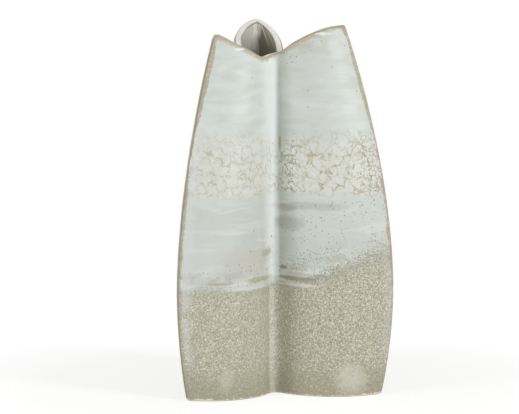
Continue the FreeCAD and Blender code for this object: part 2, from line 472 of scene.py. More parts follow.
def makeBaseTree():
    counts = ("spanX", "spanY", "countX", "countY")
    tree, result, values, grid = startPiece("baseSlabThird", baseSizes, baseSteps, counts)
    values["column"] = values["gridX"]
    runSteps(tree, slabSteps, values)
    plan = addPlan(tree, values)
    share = addNode(tree, "ShaderNodeCombineXYZ", [values["discShare"], values["discShare"], 1])
    drawn = addNode(tree, "ShaderNodeVectorMath", [plan.outputs["Position"], share], operation="MULTIPLY")
    stored = {"edgeGap": plan.outputs["Edge gap"], "along": plan.outputs["Along"]}
    return endPiece(tree, result, values, placeGrid(tree, grid, stored, {"Position": drawn}))


coilSizes = {
    "wall": wallSizes["wall"], "low": wallSizes["base"], "high": 0, "halfWidth": 4.6 * mm,
    "halfDepth": 2.0 * mm, "setIn": 1.5 * mm,
    "taper": 22 * mm, "tipShare": 0.3, "coilRows": 90, "around": 16,
}
coilGrid = """
countX = ADD around 1
spanY = ADD coilRows 2
countY = ADD spanY 1
"""
coilSteps = """
# up the coil, closed at both ends and thinner towards its tip
rowHalf = MULTIPLY spanY 0.5
row = ADD gridY rowHalf
rowUp = SUBTRACT row 1
rowShare = DIVIDE rowUp coilRows
shareLow = MAXIMUM rowShare 0
share = MINIMUM shareLow 1
reach = SUBTRACT high low
height = MULTIPLY_ADD share reach low
rowsLeft = SUBTRACT spanY row
endBoth = MINIMUM row rowsLeft
ended = MINIMUM endBoth 1
toTop = SUBTRACT high height
thinning = DIVIDE toTop taper
full = RAMP thinning 0 1
fullLeft = SUBTRACT 1 tipShare
thick = MULTIPLY_ADD full fullLeft tipShare
size = MULTIPLY thick ended
# its oval section, pressed into the corner
turnShare = DIVIDE gridX around
turn = MULTIPLY turnShare twoPi
turnCos = COSINE turn
turnSin = SINE turn
acrossFull = MULTIPLY turnCos halfWidth
across = MULTIPLY acrossFull size
inFull = MULTIPLY turnSin halfDepth
inSized = MULTIPLY inFull size
setBack = MULTIPLY setIn thick
outwards = SUBTRACT inSized setBack
countAll = ADD halfColumns edgeColumns
column = MULTIPLY countAll -1
"""


def makeCoilTree():
    counts = ("around", "spanY", "countX", "countY")
    tree, result, values, grid = startPiece("pressedCoil", coilSizes, coilGrid, counts)
    runSteps(tree, coilSteps, values)
    values["depth"] = values["wall"]
    plan = addPlan(tree, values)
    outward = plan.outputs["Outward"]
    sideways = addNode(tree, "ShaderNodeVectorMath", [(0, 0, 1), outward], operation="CROSS_PRODUCT")
    pushed = addNode(tree, "ShaderNodeVectorMath", {0: outward, 3: values["outwards"]}, operation="SCALE")
    spread = addNode(tree, "ShaderNodeVectorMath", {0: sideways, 3: values["across"]}, operation="SCALE")
    moved = addNode(tree, "ShaderNodeVectorMath", [pushed, spread], operation="ADD")
    merged = placeGrid(tree, grid, {}, {"Position": plan.outputs["Position"], "Offset": moved})
    smooth = addNode(tree, "GeometryNodeSetShadeSmooth",
                     {"Geometry": merged, "Shade Smooth": True}, domain="FACE")
    return endPiece(tree, result, values, smooth)


def facedOut(mesh):  # the same mesh with every face turned outwards
    worked = bmesh.new()
    worked.from_mesh(mesh)
    bmesh.ops.recalc_face_normals(worked, faces=worked.faces)
    worked.to_mesh(mesh)
    worked.free()
    return mesh


def runTree(name, tree, sizes, material):  # the tree's result as a plain mesh
    blank = bpy.data.objects.new(name + "Blank", bpy.data.meshes.new(name + "Blank"))
    bpy.context.scene.collection.objects.link(blank)
    modifier = blank.modifiers.new(name, "NODES")
    modifier.node_group = tree
    for item in tree.interface.items_tree:
        if item.in_out == "INPUT" and item.name in sizes:
            modifier[item.identifier] = float(sizes[item.name])
        elif item.in_out == "INPUT" and item.name == "Material":
            modifier[item.identifier] = material
    bpy.context.view_layer.update()
    evaluated = blank.evaluated_get(bpy.context.evaluated_depsgraph_get())
    mesh = bpy.data.meshes.new_from_object(evaluated, preserve_all_data_layers=True,
                                           depsgraph=bpy.context.evaluated_depsgraph_get())
    blank.modifiers.remove(modifier)
    bpy.data.objects.remove(blank)
    mesh.name = name
    return mesh


def addPiece(name, mesh, node):
    piece = bpy.data.objects.new(name, mesh)
    bpy.context.scene.collection.objects.link(piece)
    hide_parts(node)
    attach(piece, "root")
    print(name, "made:", len(mesh.polygons), "faces")
    return piece


def hexColour(text):  # an sRGB hex colour as the linear values that nodes take
    parts = [int(text[place:place + 2], 16) / 255 for place in (1, 3, 5)]
    return [part / 12.92 if part <= 0.04045 else ((part + 0.055) / 1.055) ** 2.4 for part in parts] + [1]


tipHeight = 302.6  # the highest tip, mm

# The glaze as a whole, lengths in mm
glazeCoat = {"first": "#d6dcd6", "ior": 1.52, "bumpStrength": 0.35, "bumpDepth": 0.25, "bendSpacing": 7}

# Stoneware glazes poured one over another: satin celadon white above, crawled where it is thick, clear
# over the clay in the middle, and a matt oatmeal glaze with cream crystals below. Sizes in millimetres
glazeNoises = {
    "drift": {"spacing": 46, "stretch": (1, 1, 1), "detail": 2, "distortion": 0},
    "patch": {"spacing": 13, "stretch": (1.8, 1.8, 0.8), "detail": 3, "distortion": 0.4},
    "pour": {"spacing": 8, "stretch": (5, 5, 0.8), "detail": 4, "distortion": 0.7},
    "streak": {"spacing": 1.5, "stretch": (1, 1, 16), "detail": 2, "distortion": 0},
    "grain": {"spacing": 1.05, "stretch": (1, 1, 1), "detail": 2, "distortion": 1.3},
    "fleck": {"spacing": 3.6, "stretch": (1, 1, 1), "detail": 3, "distortion": 0.6},
    "curl": {"spacing": 12, "stretch": (1, 1, 1), "detail": 3, "distortion": 1.4},
    "edgeNote": {"spacing": 17, "stretch": (1, 1, 1.2), "detail": 3, "distortion": 0},
}
glazeCells = {
    "web": {"spacing": 9, "feature": "DISTANCE_TO_EDGE", "bent": 11},
    "webFine": {"spacing": 4.2, "feature": "DISTANCE_TO_EDGE", "bent": 9},
    "dots": {"spacing": 2.6, "feature": "F1", "bent": 0},
    "specks": {"spacing": 11, "feature": "F1", "bent": 0},
}
# Where the glaze ran, rolled or broke on the front wall, and two painted highlights on the rim: place across
# and up, half size across and up, colour, strength, and how soft its edge is
glazeSpots = {
    "spots": (
        ((1.2, 207), (1.1, 7), "#94865f", 0.55, 0.8),
        ((5, 154), (6, 3.2), "#a08c7d", 0.5, 0.8),
        ((22, 156), (27, 3.6), "#a3a298", 0.42, 1),
        ((8, 142), (10, 8), "#93927f", 0.42, 0.8),
        ((-12, 118), (6, 3), "#aca48e", 0.68, 0.7),
        ((-30, 113), (24, 13), "#c2b8a6", 0.4, 1),
        ((3.5, 105), (2.6, 2), "#938465", 0.8, 0.5),
        ((-18, 97.5), (13, 2.6), "#aaa683", 0.65, 0.6),
        ((14, 96.6), (14, 2.4), "#928266", 0.85, 0.5),
        ((38, 99.5), (17, 2.4), "#8f8b78", 0.45, 0.7),
        ((24, 102.6), (20, 1.6), "#e0e5e3", 0.75, 0.6),
        ((-55, 96.5), (15, 1.1), "#a08f74", 0.5, 0.4),
        ((-45, 137), (24, 1.4), "#dde2dd", 0.5, 1),
    ),
    "lateSpots": (
        ((14, 91.4), (16, 1.6), "#dcdfd8", 0.75, 0.6),
        ((-30, 91.4), (20, 1.8), "#dfe2df", 0.8, 0.6),
        ((-50, 17), (7, 10), "#cdcbb8", 0.6, 1),
        ((54, 14), (13, 15), "#d8d6c8", 0.68, 1),
    ),
    "rimSpots": (
        # the first two are painted highlights, white glints on the rim; the third is a grey-green glaze
        # patch
        ((-35, 284.5), (4.5, 1.2), "#f6f8f5", 0.85, 0.5),
        ((33, 296), (7, 1.3), "#f4f6f3", 0.8, 0.6),
        ((17, 287), (12, 4), "#a5a695", 0.4, 1),
    ),
}
# a darker tan strip round the left wing's edge: tan glaze, with painted shade where the edge turns away from
# the light
# darker and browner further down inside: brown glaze, and painted shade deep in the vase
# painted light on the lit side of the crease, and painted shade in the valley to its right
# painted shade on the loop's right side, which faces away from the light
# painted shade right of the crease, where the wall faces away from the light
# the oatmeal glaze: cream worms on tan, painted light by the crease and on the strip right of it, darker
# right and low
glazeSteps = """
# places in mm: up, across, back, in from the wing edge and down from the rim
high = MULTIPLY z 1000
wide = MULTIPLY x 1000
far = MULTIPLY y 1000
edgeIn = MULTIPLY edgeGap 1000
rimDown = MULTIPLY rimGap 1000
# 1 on the front wall, and the way round it from the crease
front = RAMP far -8 -16
sideways = MULTIPLY along 1000
# the pale line pooled beside the crease, and the grey valley to its right
creaseSwing = MULTIPLY_ADD edgeNote 7 -3.5
creaseAt = ADD sideways creaseSwing
creaseLeft = RAMP creaseAt -25 -9
creaseMore = RAMP high 172 150
creaseReach = MULTIPLY_ADD creaseMore -1.5 sideways
creaseRight = RAMP creaseReach 3 0
creaseBand = MULTIPLY creaseLeft creaseRight
creaseLow = RAMP high 78 100
creaseFront = MULTIPLY creaseLow front
creaseHere = MULTIPLY creaseBand creaseFront
creaseStrong = MULTIPLY_ADD creaseMore 0.08 0.84
creaseSoft = MULTIPLY creaseHere creaseStrong
footLeft = RAMP creaseAt -13 -6
footRight = RAMP sideways 15 3
footBand = MULTIPLY footLeft footRight
creaseFoot = MULTIPLY footBand front
valleyLeft = RAMP sideways -2 3
valleyRight = RAMP sideways 75 22
valleyHigh = RAMP high 185 220
valleyBand = MULTIPLY valleyLeft valleyRight
valleyHere = MULTIPLY valleyBand creaseFront
valleyUp = MULTIPLY valleyHere valleyHigh
valleySoft = MULTIPLY valleyUp 0.2
rightHalf = RAMP wide -1 7
frontRight = MULTIPLY front rightHalf
# the four zones, each with an edge of its own: oatmeal, clear, cream and celadon
driftSwing = MULTIPLY_ADD drift 22 -11
smallSwing = MULTIPLY_ADD patch 9 -4.5
finerSwing = MULTIPLY_ADD patch 8 -4
climbFrom = SUBTRACT wide 5
climbOn = MAXIMUM climbFrom 0
climb = MULTIPLY climbOn 0.38
laneHigh = SUBTRACT high climb
laneSwung = ADD laneHigh smallSwing
grainHalf = SUBTRACT grain 0.5
grainReach = MULTIPLY_ADD climbOn 0.75 34
grainSwing = MULTIPLY grainHalf grainReach
laneGrain = ADD laneSwung grainSwing
oatmeal = RAMP laneGrain 94 87
creamLevel = ADD high driftSwing
creamy = RAMP creamLevel 224 198
clearLevel = ADD high finerSwing
clear = RAMP clearLevel 170 162.5
notClear = SUBTRACT 1 clear
# soft pale and dark bands left by the pour, and mottles
pourPale = RAMP pour 0.52 0.66
pourDark = RAMP pour 0.5 0.34
pourPaleSoft = MULTIPLY pourPale 0.34
pourDarkSoft = MULTIPLY pourDark 0.36
mottleDark = RAMP patch 0.5 0.66
mottleDarkSoft = MULTIPLY mottleDark 0.5
mottlePale = RAMP patch 0.46 0.34
mottlePaleSoft = MULTIPLY mottlePale 0.3
streakDark = RAMP streak 0.5 0.7
clearStreak = MULTIPLY streakDark clear
clearStreakSoft = MULTIPLY clearStreak 0.07
clearPale = MULTIPLY pourPale clear
clearPaleSoft = MULTIPLY clearPale 0.4
clearDepth = RAMP driftSwing 3 -5
clearGrey = MULTIPLY clearDepth clear
clearGreySoft = MULTIPLY clearGrey 0.38
# the crawled band: tan lines where the glaze drew apart into beads
crawlOn = MULTIPLY creamy notClear
curlOff = SUBTRACT curl 0.5
curlSize = ABSOLUTE curlOff
crawlLine = RAMP curlSize 0.029 0.004
crawlNote = RAMP patch 0.36 0.56
curlSeen = MULTIPLY crawlLine crawlNote
curlSoft = MULTIPLY curlSeen 0.4
webLine = RAMP web 0.075 0.015
webNote = RAMP fleck 0.38 0.52
webPart = RAMP patch 0.3 0.47
webOften = MULTIPLY webNote webPart
webSeen = MULTIPLY webLine webOften
crawlSeen = MAXIMUM curlSoft webSeen
beads = RAMP web 0.1 0.26
beadsHere = MULTIPLY beads crawlOn
beadsSoft = MULTIPLY beadsHere 0.3
crawlHere = MULTIPLY crawlSeen crawlOn
crawlSide = MULTIPLY_ADD frontRight 0.24 0.46
crawlTan = MULTIPLY crawlHere crawlSide
# finer crackle, most of it by the crease and the right edge, where the glaze is thick
fineLine = RAMP webFine 0.12 0.03
nearCrease = RAMP wide 15 9
nearEdgeAll = RAMP edgeIn 26 12
nearEdge = MULTIPLY nearEdgeAll frontRight
thick = MULTIPLY nearCrease frontRight
thickAny = MAXIMUM thick nearEdge
thickMore = MULTIPLY_ADD thickAny 0.6 0.12
thickPale = MULTIPLY thick crawlOn
thickPaleSoft = MULTIPLY thickPale 0.5
fineNote = RAMP fleck 0.36 0.54
fineSeen = MULTIPLY fineLine fineNote
fineHere = MULTIPLY fineSeen thickMore
fineTan = MULTIPLY fineHere crawlOn
# the oatmeal glaze: cream worms on tan, paler by the crease, darker right and low
creaseOat = MULTIPLY creaseFoot oatmeal
creaseOatSoft = MULTIPLY creaseOat 0.58
wormsAll = RAMP grain 0.46 0.56
wormLow = RAMP high 6 34
wormAt = MULTIPLY_ADD wormLow 0.75 0.25
wormsHere = MULTIPLY wormsAll wormAt
worms = MULTIPLY wormsHere oatmeal
creaseWorms = MULTIPLY creaseOatSoft worms
creaseWormsSoft = MULTIPLY creaseWorms 1.8
wormBright = RAMP grain 0.55 0.62
wormBrightHere = MULTIPLY wormBright worms
wormBrightSoft = MULTIPLY wormBrightHere 0.85
darkSide = MULTIPLY frontRight oatmeal
darkSideSoft = MULTIPLY darkSide 0.34
lowDark = RAMP high 42 14
lowDarkHere = MULTIPLY lowDark oatmeal
lowDarkSoft = MULTIPLY lowDarkHere 0.6
# thin strips and thick rolls of glaze above the oatmeal
gapAway = SUBTRACT laneSwung 101
gapSize = ABSOLUTE gapAway
gapBand = RAMP gapSize 7 3
gapNote = RAMP patch 0.5 0.62
gapSeen = MULTIPLY gapBand gapNote
notOatmeal = SUBTRACT 1 oatmeal
gapHere = MULTIPLY gapSeen notOatmeal
gapSoft = MULTIPLY gapHere 0.36
rollAway = SUBTRACT laneSwung 95
rollSize = ABSOLUTE rollAway
rollBand = RAMP rollSize 3 1
rollNote = RAMP edgeNote 0.44 0.54
roll = MULTIPLY rollBand rollNote
rollSoft = MULTIPLY roll 0.75
# dark dots, thickest above the oatmeal, to the right and under the right rim
dotSize = MULTIPLY_ADD dotsRandom 0.17 0.06
dotGap = SUBTRACT dots dotSize
dotMark = RAMP dotGap 0.05 -0.03
dotSpread = SUBTRACT 172 high
dotReach = ADD dotSpread wide
dotArea = RAMP dotReach 5 80
dotLane = SUBTRACT laneSwung 107
dotLaneSize = ABSOLUTE dotLane
dotBand = RAMP dotLaneSize 11 3
dotWhere = MAXIMUM dotArea dotBand
dotTop = RAMP high 205 186
dotPlace = MULTIPLY dotWhere dotTop
dotRimDown = RAMP rimDown 22 9
dotRimWide = RAMP wide 46 22
dotRimSpan = MULTIPLY dotRimDown dotRimWide
dotRim = MULTIPLY dotRimSpan frontRight
dotPlaces = MAXIMUM dotPlace dotRim
dotBare = MULTIPLY dotPlaces notOatmeal
dotChance = SUBTRACT dotsPick 0.26
dotPick = ADD dotChance dotBare
dotPicked = RAMP dotPick 0.7 0.8
dotAll = MULTIPLY dotMark dotPicked
dotSeen = MULTIPLY dotAll notOatmeal
# fine grit to the right of the crease
gritBand = RAMP dotLaneSize 9 3
gritRight = RAMP wide 4 9
gritEnd = RAMP wide 52 36
gritMark = RAMP grain 0.43 0.36
gritSpan = MULTIPLY gritRight gritEnd
gritPlace = MULTIPLY gritSpan gritBand
gritHere = MULTIPLY gritPlace gritMark
gritBare = MULTIPLY gritHere notOatmeal
gritFront = MULTIPLY gritBare front
gritSoft = MULTIPLY gritFront 0.95
dotSoft = MULTIPLY dotSeen 0.75
# single specks
speckMark = RAMP specks 0.075 0.04
speckPick = RAMP specksPick 0.5 0.55
speckSeen = MULTIPLY speckMark speckPick
speckSoft = MULTIPLY speckSeen 0.6
# a pale line pooled just inside the wing edges
poolIn = RAMP edgeIn 1.5 4
poolOut = RAMP edgeIn 14 6
pool = MULTIPLY poolIn poolOut
poolTop = RAMP high 235 180
poolLow = RAMP high 18 50
poolSpan = MULTIPLY poolTop poolLow
poolNote = RAMP edgeNote 0.27 0.46
poolSeen = MULTIPLY pool poolNote
poolHere = MULTIPLY poolSeen poolSpan
poolSide = MULTIPLY_ADD frontRight -0.28 0.5
poolSoft = MULTIPLY poolHere poolSide
# wing edges where the glaze drew thin and shows tan, wider above
tanTop = RAMP high 204 240
tanMidOff = SUBTRACT high 138
tanMidSize = ABSOLUTE tanMidOff
tanMid = RAMP tanMidSize 42 24
tanOne = MULTIPLY_ADD tanTop 2.4 0.7
tanRight = MULTIPLY_ADD frontRight 0.9 tanOne
tanTwo = MULTIPLY_ADD tanMid 1.3 tanRight
tanFine = MULTIPLY_ADD fleck 2.6 -1.3
tanSwing = MULTIPLY_ADD edgeNote 6 -3
tanMore = ADD tanTwo tanFine
tanWide = ADD tanMore tanSwing
tanOff = SUBTRACT edgeIn tanWide
tanEdge = RAMP tanOff 0.9 -0.6
tanFringeOff = ABSOLUTE tanOff
tanFringe = RAMP tanFringeOff 0.7 0.2
tanLow = RAMP high 84 104
tanSeen = MULTIPLY tanEdge tanLow
tanMottle = RAMP fleck 0.36 0.58
tanPart = MULTIPLY_ADD tanMottle 0.42 0.48
tanSoft = MULTIPLY tanSeen tanPart
fringeSeen = MULTIPLY tanFringe tanLow
# a darker strip round the left wing's edge
outerAlong = RAMP sideways 2 8
outerWide = RAMP wide -20 -40
outerWing = MULTIPLY outerAlong outerWide
outerFront = MULTIPLY outerWing front
outerSwing = ADD tanFine tanSwing
outerIn = SUBTRACT edgeIn outerSwing
outerNear = RAMP outerIn 7 5
outerEdge = MULTIPLY outerFront outerNear
outerTan = MULTIPLY outerEdge 0.8
fringeSoft = MULTIPLY fringeSeen 0.45
# the tan rim, pinkish in places
aloft = RAMP high 220 240
rimSwingOne = MULTIPLY_ADD patch 7 -3
rimSwing = MULTIPLY_ADD fleck 5 rimSwingOne
rimOff = SUBTRACT rimDown rimSwing
rimBand = RAMP rimOff 2.6 -1.2
rimTan = MULTIPLY rimBand aloft
rimTanSoft = MULTIPLY rimTan 0.82
rimPink = RAMP patch 0.5 0.64
rimPinkHere = MULTIPLY rimTanSoft rimPink
# the pale lip and the tan line along its edges
lipOff = SUBTRACT inside 0.5
lipSize = ABSOLUTE lipOff
lipTop = RAMP lipSize 0.34 0.26
lipLine = RAMP lipSize 0.26 0.36
lipNot = RAMP lipSize 0.5 0.44
lipEdgeAll = MULTIPLY lipLine lipNot
lipInner = RAMP inside 0.5 0.7
lipBack = RAMP far 8 24
lipHidden = MULTIPLY lipInner lipBack
lipPaleTop = MAXIMUM lipTop lipHidden
lipKept = SUBTRACT 1 lipHidden
lipEdge = MULTIPLY lipEdgeAll lipKept
lipFar = RAMP far 20 40
lipMore = MULTIPLY_ADD lipFar 0.2 0.75
lipLeft = RAMP wide 4 -6
lipNear = SUBTRACT 1 lipFar
lipCream = MULTIPLY lipLeft lipNear
lipFirm = MULTIPLY_ADD lipCream -0.45 lipMore
lipEdgeSoft = MULTIPLY lipEdge lipFirm
# the inside, pale under the rim
inner = RAMP inside 0.86 0.97
innerDown = MULTIPLY_ADD streak 30 rimDown
innerPale = RAMP innerDown 32 16
innerPaleAll = MULTIPLY innerPale inner
innerPaleSoft = MULTIPLY innerPaleAll 0.66
innerRight = RAMP wide -2 1
innerBack = RAMP far 8 24
# the back loop's pale inner lip, and the tan line under it
lipOver = RAMP rimDown 2.6 1.9
lipOverBack = MULTIPLY lipOver lipBack
lipOverSoft = MULTIPLY lipOverBack inner
lipUnderOff = SUBTRACT rimDown 2.9
lipUnderSize = ABSOLUTE lipUnderOff
lipUnder = RAMP lipUnderSize 0.9 0.4
lipUnderBack = MULTIPLY lipUnder lipBack
lipUnderHere = MULTIPLY lipUnderBack inner
lipUnderSoft = MULTIPLY lipUnderHere 0.75
# the loop's shaded right side
innerSide = MULTIPLY innerRight innerBack
innerShade = MULTIPLY innerSide inner
innerShadeSoft = MULTIPLY innerShade 0.75
# the pale ridge down from the apex
ridgeOff = ABSOLUTE wide
ridgeLine = RAMP ridgeOff 4 2.4
ridgeStreak = MULTIPLY_ADD streak 0.5 0.72
ridgeTop = RAMP rimDown 17 12
ridgeWall = MULTIPLY ridgeTop inner
ridgeUp = MULTIPLY ridgeWall lipBack
ridgeOn = MAXIMUM coil ridgeUp
ridgeOne = MULTIPLY ridgeLine ridgeOn
ridgeSoft = MULTIPLY ridgeOne ridgeStreak
# pale streaks that fan out beside it
fanWide = RAMP ridgeOff 15 4
fanTop = RAMP rimDown 24 7
fanDown = ADD rimDown 4
fanAngle = DIVIDE wide fanDown
fanFew = MULTIPLY_ADD fanAngle 13 1.1
fanMany = MULTIPLY_ADD fanAngle 29 0.4
fanFewWave = SINE fanFew
fanManyWave = SINE fanMany
fanBoth = MULTIPLY_ADD fanManyWave 0.6 fanFewWave
fanLines = RAMP fanBoth 0.1 1.1
fanArea = MULTIPLY fanWide fanTop
fanSeen = MULTIPLY fanArea fanLines
fanInner = MULTIPLY fanSeen inner
fanSoft = MULTIPLY fanInner 0.95
# dark further down
innerDeep = RAMP rimDown 30 75
innerDeepHere = MULTIPLY innerDeep inner
# bare clay at the foot, and cream dots above it
footEdge = RAMP edgeIn 36 6
footSwingOne = MULTIPLY_ADD fleck 5 -1.3
footSwing = MULTIPLY_ADD footEdge 1 footSwingOne
footOff = SUBTRACT high footSwing
foot = RAMP footOff 0.35 -0.35
footGrain = SUBTRACT high 9
footGrainSize = ABSOLUTE footGrain
footRow = RAMP footGrainSize 8 3
footDots = MULTIPLY dotMark footRow
footDotSoft = MULTIPLY footDots 0.8
# roughness and relief
roughOat = MULTIPLY_ADD oatmeal 0.08 0.45
roughFoot = MULTIPLY_ADD foot 0.4 roughOat
roughness = MULTIPLY_ADD patch 0.1 roughFoot
reliefWorm = MULTIPLY worms 0.35
reliefCrawl = MULTIPLY_ADD crawlTan -0.8 reliefWorm
reliefFine = MULTIPLY_ADD fineTan -0.5 reliefCrawl
reliefRoll = MULTIPLY_ADD rollSoft 0.6 reliefFine
relief = MULTIPLY_ADD foot -0.8 reliefRoll
"""
# Some layers below are painted light and shade: the crease's lit side, the valley, the left wing's edge, the
# rim highlights and the loop inside
glazeLayers = (  # from the first coat outwards: where each shows, and its colour there
    ("pourPaleSoft", "#e1e7e3"), ("pourDarkSoft", "#ccd2cb"), ("mottleDarkSoft", "#c6cbc2"),
    ("mottlePaleSoft", "#e6ebe7"), ("creamy", "#dadcd3"), ("clear", "#d1d6d0"),
    ("clearGreySoft", "#bcbfb4"), ("clearStreakSoft", "#b3b5aa"), ("clearPaleSoft", "#e0e5e1"),
    ("creaseSoft", "#eef3f0"), ("valleySoft", "#a9ada3"), ("thickPaleSoft", "#f2f4ee"),
    ("beadsSoft", "#e9ebe6"), ("crawlTan", "#a59871"), ("fineTan", "#7a6e4e"), ("gapSoft", "#a99d82"),
    ("rollSoft", "#e3e6e0"), ("spots", ""), ("oatmeal", "#a4a088"), ("darkSideSoft", "#8f8a72"),
    ("lowDarkSoft", "#a29c85"), ("creaseOatSoft", "#c6c4b0"), ("worms", "#d3d1bf"),
    ("wormBrightSoft", "#e6e4d6"), ("creaseWormsSoft", "#efede2"), ("lateSpots", ""),
    ("dotSoft", "#6f7463"), ("gritSoft", "#7b7c6b"), ("speckSoft", "#85887c"), ("footDotSoft", "#e3dcae"),
    ("poolSoft", "#dce1de"), ("tanSoft", "#b0a480"), ("outerTan", "#8d8267"), ("fringeSoft", "#b09c8a"),
    ("rimTanSoft", "#b8ae90"), ("rimPinkHere", "#c5b3a4"), ("rimSpots", ""), ("lipPaleTop", "#f4f5ee"),
    ("lipEdgeSoft", "#9c8c66"), ("inner", "#e1dcd0"), ("innerPaleSoft", "#dde0da"),
    ("innerShadeSoft", "#887d67"), ("innerDeepHere", "#7a6f5b"), ("fanSoft", "#e6e6e2"),
    ("ridgeSoft", "#f8f9f5"), ("lipUnderSoft", "#93835f"), ("lipOverSoft", "#f4f5ee"),
    ("foot", "#ece3cc"),
)


def addSpots(tree, colour, values, spots):  # soft-edged patches on the front face
    for place, halfSize, shade, strength, soft in spots:
        steps = """
across = SUBTRACT wide {0}
acrossShare = DIVIDE across {2}
acrossLong = MULTIPLY acrossShare acrossShare
upward = SUBTRACT high {1}
upShare = DIVIDE upward {3}
long = MULTIPLY_ADD upShare upShare acrossLong
edged = MULTIPLY_ADD fleck 1.2 -0.6
edgedMore = MULTIPLY_ADD patch 2.4 -1.2
edgedBoth = ADD edged edgedMore
ragged = ADD long edgedBoth
spotArea = RAMP ragged {5} {6}
spotFront = MULTIPLY spotArea front
spotSeen = MULTIPLY spotFront {4}
""".format(*place, *halfSize, strength, 1 + 0.6 * soft, 0.8 - soft)  # a softer one fades over more width
        runSteps(tree, steps, values)
        mixed = addNode(tree, "ShaderNodeMix", {0: values["spotSeen"], 6: colour, 7: hexColour(shade)},
                        data_type="RGBA")
        colour = mixed.outputs[2]
    return colour


def makeGlaze(name, coil):
    material = bpy.data.materials.new(name)
    material.use_nodes = True
    tree = material.node_tree
    shader = tree.nodes["Principled BSDF"]
    place = addNode(tree, "ShaderNodeTexCoord").outputs["Object"]
    axes = addNode(tree, "ShaderNodeSeparateXYZ", [place])
    values = {"x": axes.outputs[0], "y": axes.outputs[1], "z": axes.outputs[2]}
    for attribute in ("inside", "rimGap", "edgeGap", "along"):
        values[attribute] = addNode(tree, "ShaderNodeAttribute", attribute_name=attribute).outputs["Fac"]
    values["coil"] = addNode(tree, "ShaderNodeValue").outputs[0]
    values["coil"].default_value = int(coil)
    if coil:  # a coil lies inside, so it has none of the outside's zones
        values["inside"] = values["coil"]
        topDown = addNode(tree, "ShaderNodeMath", [tipHeight * mm, values["z"]], operation="SUBTRACT")
        values["rimGap"] = topDown.outputs[0]
    for key, noise in glazeNoises.items():
        scale = [1 / (noise["spacing"] * mm * part) for part in noise["stretch"]]
        scaled = addNode(tree, "ShaderNodeMapping", {"Vector": place, "Scale": scale})
        inputs = {"Vector": scaled, "Scale": 1, "Detail": noise["detail"], "Distortion": noise["distortion"]}
        values[key] = addNode(tree, "ShaderNodeTexNoise", inputs).outputs[0]
    scale = [1 / (glazeCoat["bendSpacing"] * mm)] * 3
    scaled = addNode(tree, "ShaderNodeMapping", {"Vector": place, "Scale": scale})
    bent = addNode(tree, "ShaderNodeTexNoise", {"Vector": scaled, "Scale": 1, "Detail": 2}).outputs["Color"]
    bend = addNode(tree, "ShaderNodeVectorMath", [bent, (0.5, 0.5, 0.5)], operation="SUBTRACT")
    for key, cell in glazeCells.items():  # cells with wandering borders, as crawled glaze has
        shift = addNode(tree, "ShaderNodeVectorMath", {0: bend, 3: cell["bent"] * mm}, operation="SCALE")
        moved = addNode(tree, "ShaderNodeVectorMath", [place, shift], operation="ADD")
        cells = addNode(tree, "ShaderNodeTexVoronoi", {"Vector": moved, "Scale": 1 / (cell["spacing"] * mm)},
                        feature=cell["feature"])
        values[key] = cells.outputs["Distance"]
        if cell["feature"] == "F1":
            picked = addNode(tree, "ShaderNodeSeparateColor", [cells.outputs["Color"]])
            values[key + "Pick"], values[key + "Random"] = picked.outputs[0], picked.outputs[1]
    runSteps(tree, glazeSteps, values)
    colour = addNode(tree, "ShaderNodeRGB").outputs[0]
    colour.default_value = hexColour(glazeCoat["first"])
    for mask, shade in glazeLayers:
        if mask in glazeSpots:
            colour = addSpots(tree, colour, values, glazeSpots[mask])
        else:
            mixed = addNode(tree, "ShaderNodeMix", {0: values[mask], 6: colour, 7: hexColour(shade)},
                            data_type="RGBA", label=mask)
            colour = mixed.outputs[2]
    depth = glazeCoat["bumpDepth"] * mm
    bump = addNode(tree, "ShaderNodeBump",
                   {"Strength": glazeCoat["bumpStrength"], "Distance": depth, "Height": values["relief"]})
    tree.links.new(colour, shader.inputs["Base Color"])
    tree.links.new(values["roughness"], shader.inputs["Roughness"])
    tree.links.new(bump.outputs[0], shader.inputs["Normal"])
    shader.inputs["IOR"].default_value = glazeCoat["ior"]
    return material


glaze = makeGlaze("celadonOverOatmealGlaze", False)
coilGlaze = makeGlaze("pooledInnerGlaze", True)
print("glazes made")

# The three wings and the three walls between them, counter-clockwise, in mm and degrees. The rim's rise
# from valley to tip is given at a quarter, a half and three quarters of the way, for both halves
wings = {
    "left": {"angle": 210, "tipDrop": 6.4, "short": 2.2},
    "right": {"angle": 330, "tipDrop": 0.2, "short": 0},
    "back": {"angle": 90, "tipDrop": 0, "short": 0},
}
walls = {
    "front_wall": {"wings": ("left", "right"), "turn": 0, "valleyAngle": 265.2, "valleyRadius": 22.8,
                   "rimDrop": 22.6, "riseShares": ((-0.14, 0.25, 0.65), (0.42, 0.74, 0.94))},
    "right_wall": {"wings": ("right", "back"), "turn": -360, "valleyAngle": 49.6, "valleyRadius": 23.3,
                   "rimDrop": 28.5, "riseShares": ((0.1, 0.4, 0.75), (0.1, 0.49, 0.8))},
    "left_wall": {"wings": ("back", "left"), "turn": 0, "valleyAngle": 153.6, "valleyRadius": 28.3,
                  "rimDrop": 25.7, "riseShares": ((0.39, 0.57, 0.85), (0.08, 0.35, 0.68))},
}


def rimHeights(wall):  # from the first wing's tip through the valley to the second's
    low = tipHeight - wall["rimDrop"]
    first, second = (
        [low + (tipHeight - wings[name]["tipDrop"] - low) * share for share in (*shares, 1)]
        for name, shares in zip(wall["wings"], wall["riseShares"]))
    return [*reversed(first), low, *second]


def wallValues(wall):
    first, second = (wings[name] for name in wall["wings"])
    values = dict(planSizes)
    values["firstAngle"] = (first["angle"] + wall["turn"]) * degree
    values["secondAngle"] = second["angle"] * degree
    values["valleyAngle"] = wall["valleyAngle"] * degree
    values["valleyRadius"] = wall["valleyRadius"] * mm
    values["firstShort"] = first["short"] * mm
    values["secondShort"] = second["short"] * mm
    values.update({"rim" + str(number): height * mm for number, height in enumerate(rimHeights(wall))})
    return values


wallTree = makeWallTree()
for node, wall in walls.items():
    mesh = runTree(node, wallTree, {**wallValues(wall), **wallSizes}, glaze)
    addPiece(node + "_glazed", mesh, node)

